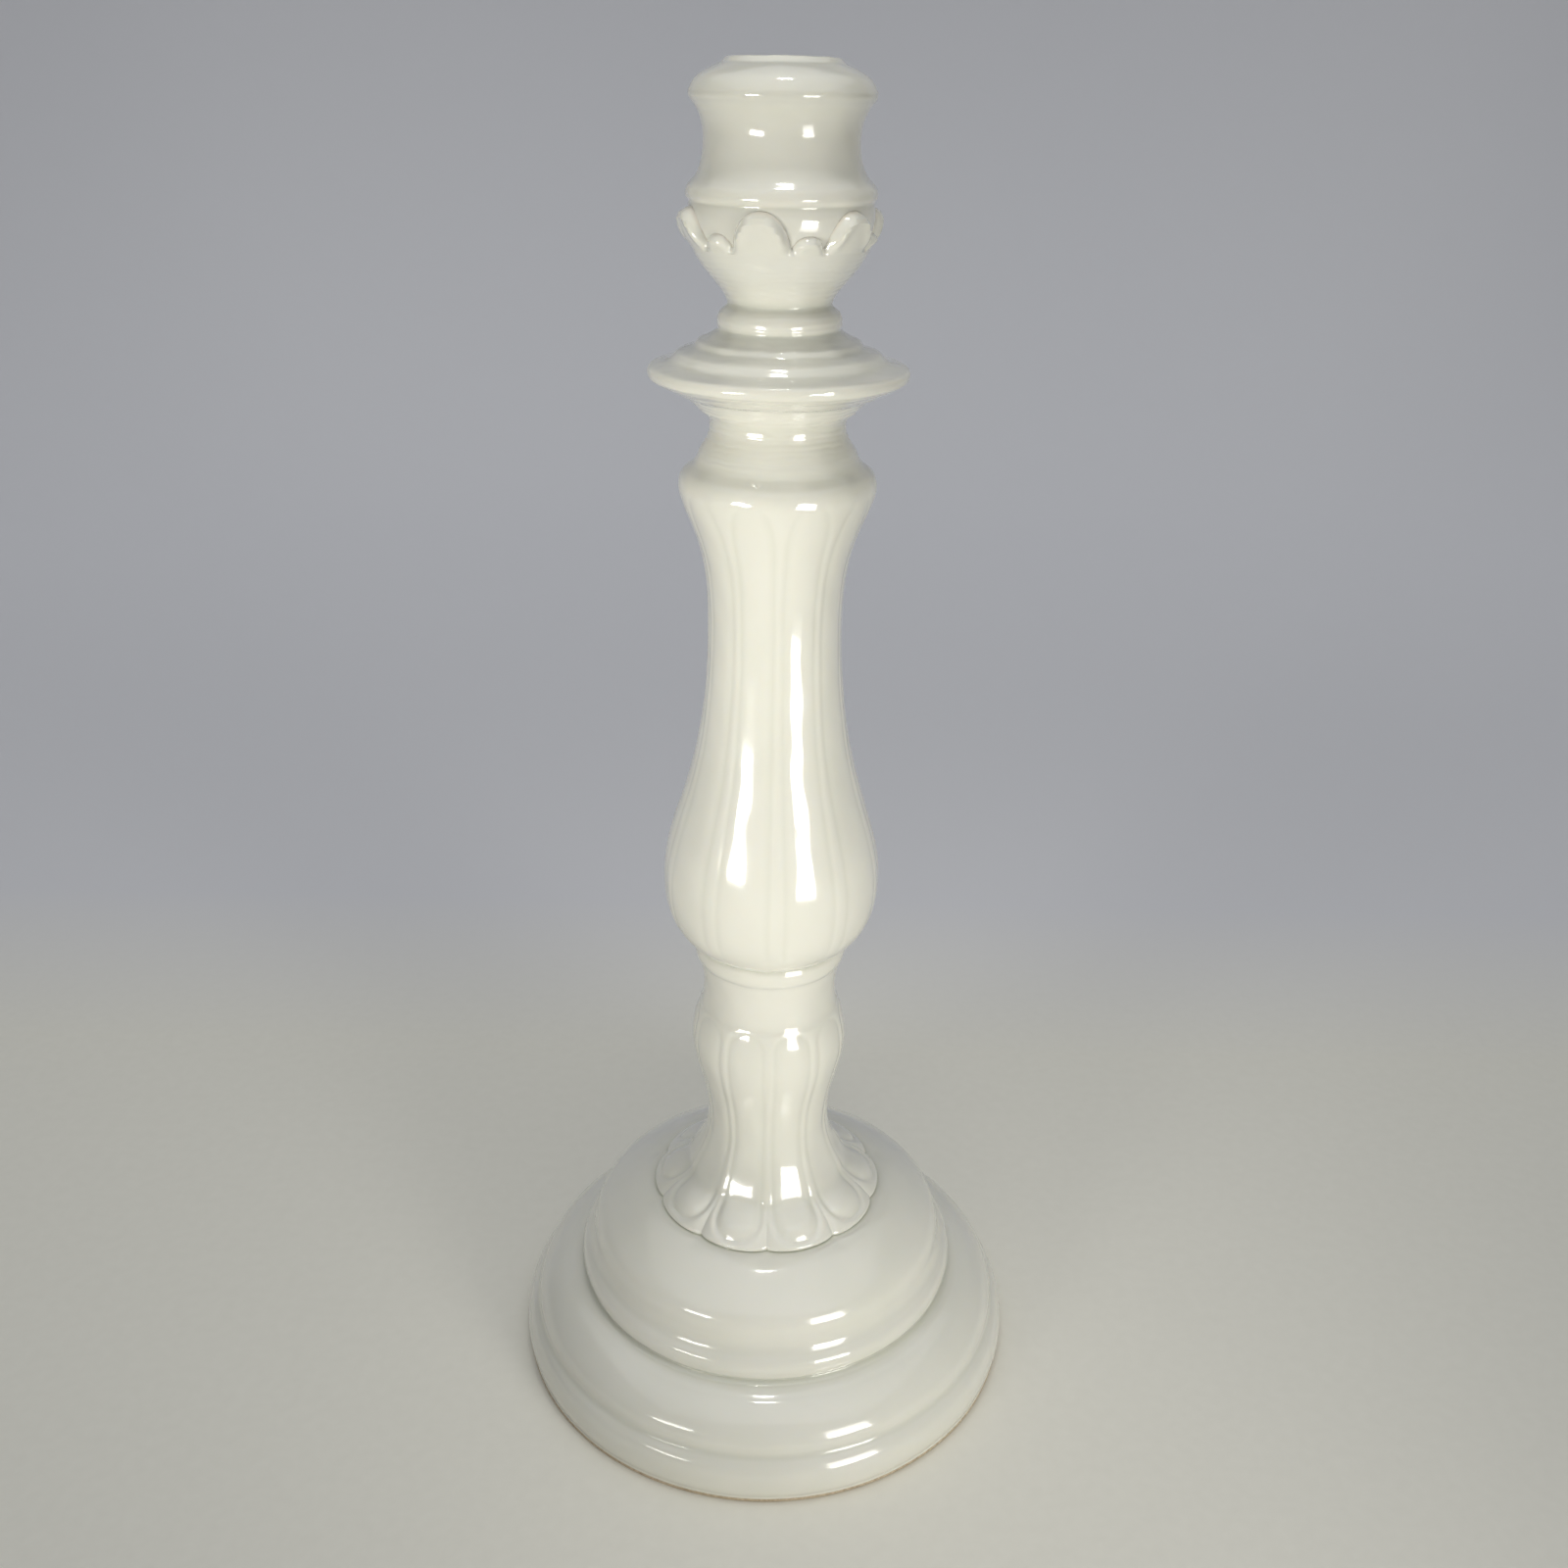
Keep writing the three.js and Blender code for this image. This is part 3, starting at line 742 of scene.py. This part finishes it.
def glaze():
    """Glossy cream glaze with a few iron specks, over slow waves, ridges and a fine peel."""
    paint = Paint("cream_glaze")
    ridged = ridges(paint, paint.bumped(paint.noise(*WAVES), *WAVE_BUMP))
    gloss = paint.spread(paint.noise(*GLOSS_PATCHES), *NOISE_SPAN, *GLAZE_ROUGHNESS)
    paint.feed(paint.shader, GLAZE_SURFACE)
    paint.feed(paint.shader, {"Base Color": paint.mixed(specks(paint), glaze_colour(paint), IRON_TONE)})
    paint.feed(paint.shader, {"Roughness": gloss, "Coat Normal": ridged})
    paint.feed(paint.shader, {"Normal": paint.bumped(paint.noise(*PEEL), *PEEL_BUMP, ridged)})
    return paint.material


def biscuit():
    """Bare fired clay, on the ring that the foot stands on."""
    paint = Paint("bare_biscuit")
    grain = paint.noise(*CLAY_GRAIN)
    paint.feed(paint.shader, {"Base Color": paint.mixed(paint.spread(grain, *CLAY_SPAN), *CLAY_TONES)})
    paint.feed(paint.shader, {"Roughness": paint.spread(grain, *NOISE_SPAN, *CLAY_ROUGHNESS)})
    paint.feed(paint.shader, {"Normal": paint.bumped(grain, *CLAY_BUMP)})
    return paint.material


def floor_surface():
    """A pale matt table top that turns cooler towards the back."""
    paint = Paint("pale_floor")
    grain = paint.spread(paint.noise(*FLOOR_GRAIN), *NOISE_SPAN)
    near = paint.mixed(grain, *NEAR_FLOOR_TONES)
    behind = paint.spread(paint.along("Y"), *FLOOR_COOLING)
    paint.feed(paint.shader, {"Base Color": paint.mixed(behind, near, FAR_FLOOR_TONE)})
    paint.feed(paint.shader, {"Roughness": FLOOR_ROUGHNESS})
    return paint.material


# ---- Floor, lamps and camera ----

FLOOR_HALF_WIDTH = 4.0
FLOOR_FRONT = -4.0
FLOOR_BACK = 0.9  # where the floor starts to sweep up
SWEEP_RADIUS = 0.5
SWEEP_STEPS = 18
WALL_TOP = 3.0

WARM = (1.0, 0.98, 0.91)
COOL = (0.96, 0.985, 1.0)
# Lamps: place, target, width, height, watts, beam angle and colour.
LAMPS = {
    "left_lamp": ((-0.325, -0.430, 0.190), (0, 0, 0.25), 0.165, 0.075, 0.20, 60, WARM),
    "right_lamp": ((0.310, -0.440, 0.145), (0, 0, 0.15), 0.18, 0.22, 0.275, 70, WARM),
    "near_lamp": ((0.004, -0.045, 0.52), (0, -0.02, 0), 0.042, 0.022, 0.066, 150, WARM),
    "ceiling_lamp": ((0, -0.10, 1.60), (0, 0, 0), 3.2, 2.6, 10.6, 120, COOL),
    "backdrop_lamp": ((0, 0.45, 1.30), (0, 1.40, 0.60), 3.4, 0.3, 2.4, 110, COOL),
}
ROOM_STRENGTH = 0.08

SENSOR_WIDTH = 36  # both in millimetres
LENS_LENGTH = 34.54
CAMERA_PLACE = (0.0030, -0.36114, 0.3490)
CAMERA_PITCH = 24.88  # how far the camera looks down
CAMERA_ROLL = 1.07


def sweeping_floor():
    """A wide floor that sweeps up into a wall behind the object."""
    profile = [(FLOOR_FRONT, 0)]
    for step in range(SWEEP_STEPS + 1):
        turn = math.radians(90 * step / SWEEP_STEPS)
        profile.append((FLOOR_BACK + SWEEP_RADIUS * math.sin(turn), SWEEP_RADIUS * (1 - math.cos(turn))))
    profile.append((FLOOR_BACK + SWEEP_RADIUS, WALL_TOP))
    points = [(x, y, z) for y, z in profile for x in (-FLOOR_HALF_WIDTH, FLOOR_HALF_WIDTH)]
    faces = [(2 * k, 2 * k + 1, 2 * k + 3, 2 * k + 2) for k in range(len(profile) - 1)]
    mesh = bpy.data.meshes.new("floor")
    mesh.from_pydata(points, [], faces)
    mesh.polygons.foreach_set("use_smooth", [True] * len(faces))
    mesh.materials.append(floor_surface())
    floor = bpy.data.objects.new("floor", mesh)
    bpy.context.collection.objects.link(floor)


def area_light(name, place, target, width, height, watts, beam, colour):
    """A rectangular lamp that faces a target."""
    lamp = bpy.data.lights.new(name, "AREA")
    lamp.shape = "RECTANGLE"
    lamp.size = width
    lamp.size_y = height
    lamp.energy = watts
    lamp.spread = math.radians(beam)
    lamp.color = colour
    holder = bpy.data.objects.new(name, lamp)
    holder.location = place
    aim = Vector(target) - holder.location
    holder.rotation_euler = aim.to_track_quat("-Z", "Y").to_euler()
    holder.visible_camera = False
    bpy.context.collection.objects.link(holder)


def room_light():
    """A dim, even light from all round."""
    world = bpy.data.worlds.new("room")
    world.use_nodes = True
    background = world.node_tree.nodes["Background"]
    background.inputs["Color"].default_value = ROOM_TONE
    background.inputs["Strength"].default_value = ROOM_STRENGTH
    bpy.context.scene.world = world


def studio():
    """A pale floor under soft lamps."""
    sweeping_floor()
    for name, settings in LAMPS.items():
        area_light(name, *settings)
    room_light()
    bpy.context.scene.view_settings.view_transform = "Standard"


def camera():
    """A camera in front of the candle socket, level with its rim and looking down at the foot."""
    data = bpy.data.cameras.new("camera")
    data.sensor_width = SENSOR_WIDTH
    data.lens = LENS_LENGTH
    holder = bpy.data.objects.new("camera", data)
    pitch, roll = math.radians(CAMERA_PITCH), math.radians(CAMERA_ROLL)
    up = np.array([0, math.sin(pitch), math.cos(pitch)])
    right = np.array([1, 0, 0])
    back = np.array([0, -math.cos(pitch), math.sin(pitch)])
    tilted_right = math.cos(roll) * right + math.sin(roll) * up
    tilted_up = math.cos(roll) * up - math.sin(roll) * right
    columns = zip(tilted_right, tilted_up, back, CAMERA_PLACE)
    holder.matrix_world = Matrix([*columns, (0, 0, 0, 1)])
    bpy.context.collection.objects.link(holder)
    bpy.context.scene.camera = holder


# ---- Assembly ----

# Names of the drawn pieces.
PIECES = {
    "foot_base": "foot_lower_tier",
    "foot_dome": "foot_upper_tier",
    "petalled_stem": "petalled_stem_glazed",
    "collar_ring": "collar_ring_glazed",
    "baluster_shaft": "fluted_baluster",
    "neck": "neck_under_pan",
    "drip_pan": "stepped_drip_pan",
    "socket_ring": "ring_under_socket",
    "leaf_calyx": "leaf_calyx_glazed",
    "candle_cup": "candle_cup_glazed",
    "rim_cap": "rim_with_raised_lip",
}
BARE_HEIGHT = 1.15  # the glaze stops this far above the table


def wipe_foot(piece):
    """Leaves the ring that the foot stands on unglazed."""
    piece.data.materials.append(biscuit())
    for face in piece.data.polygons:
        if face.center.z < BARE_HEIGHT * MM:
            face.material_index = 1


def build():
    """Each ceramic section as a piece of its own, in place of its CAD node."""
    cream = glaze()
    body = Skin(BODY_START, BODY_SKIN)
    socket = Skin((CUP_UNDERSIDE[-1][0], SEAT["candle_cup"]), SOCKET_SKIN)
    cup = socket.line[: socket.line[:, 1].argmax()]
    for skin in (body, socket):
        for node in skin.runs:
            piece = section(PIECES[node], skin, node, cup)
            piece.data.materials.append(cream)
            if node == "foot_base":
                wipe_foot(piece)
            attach(piece, "root")
            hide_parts(node)


build()
studio()
camera()
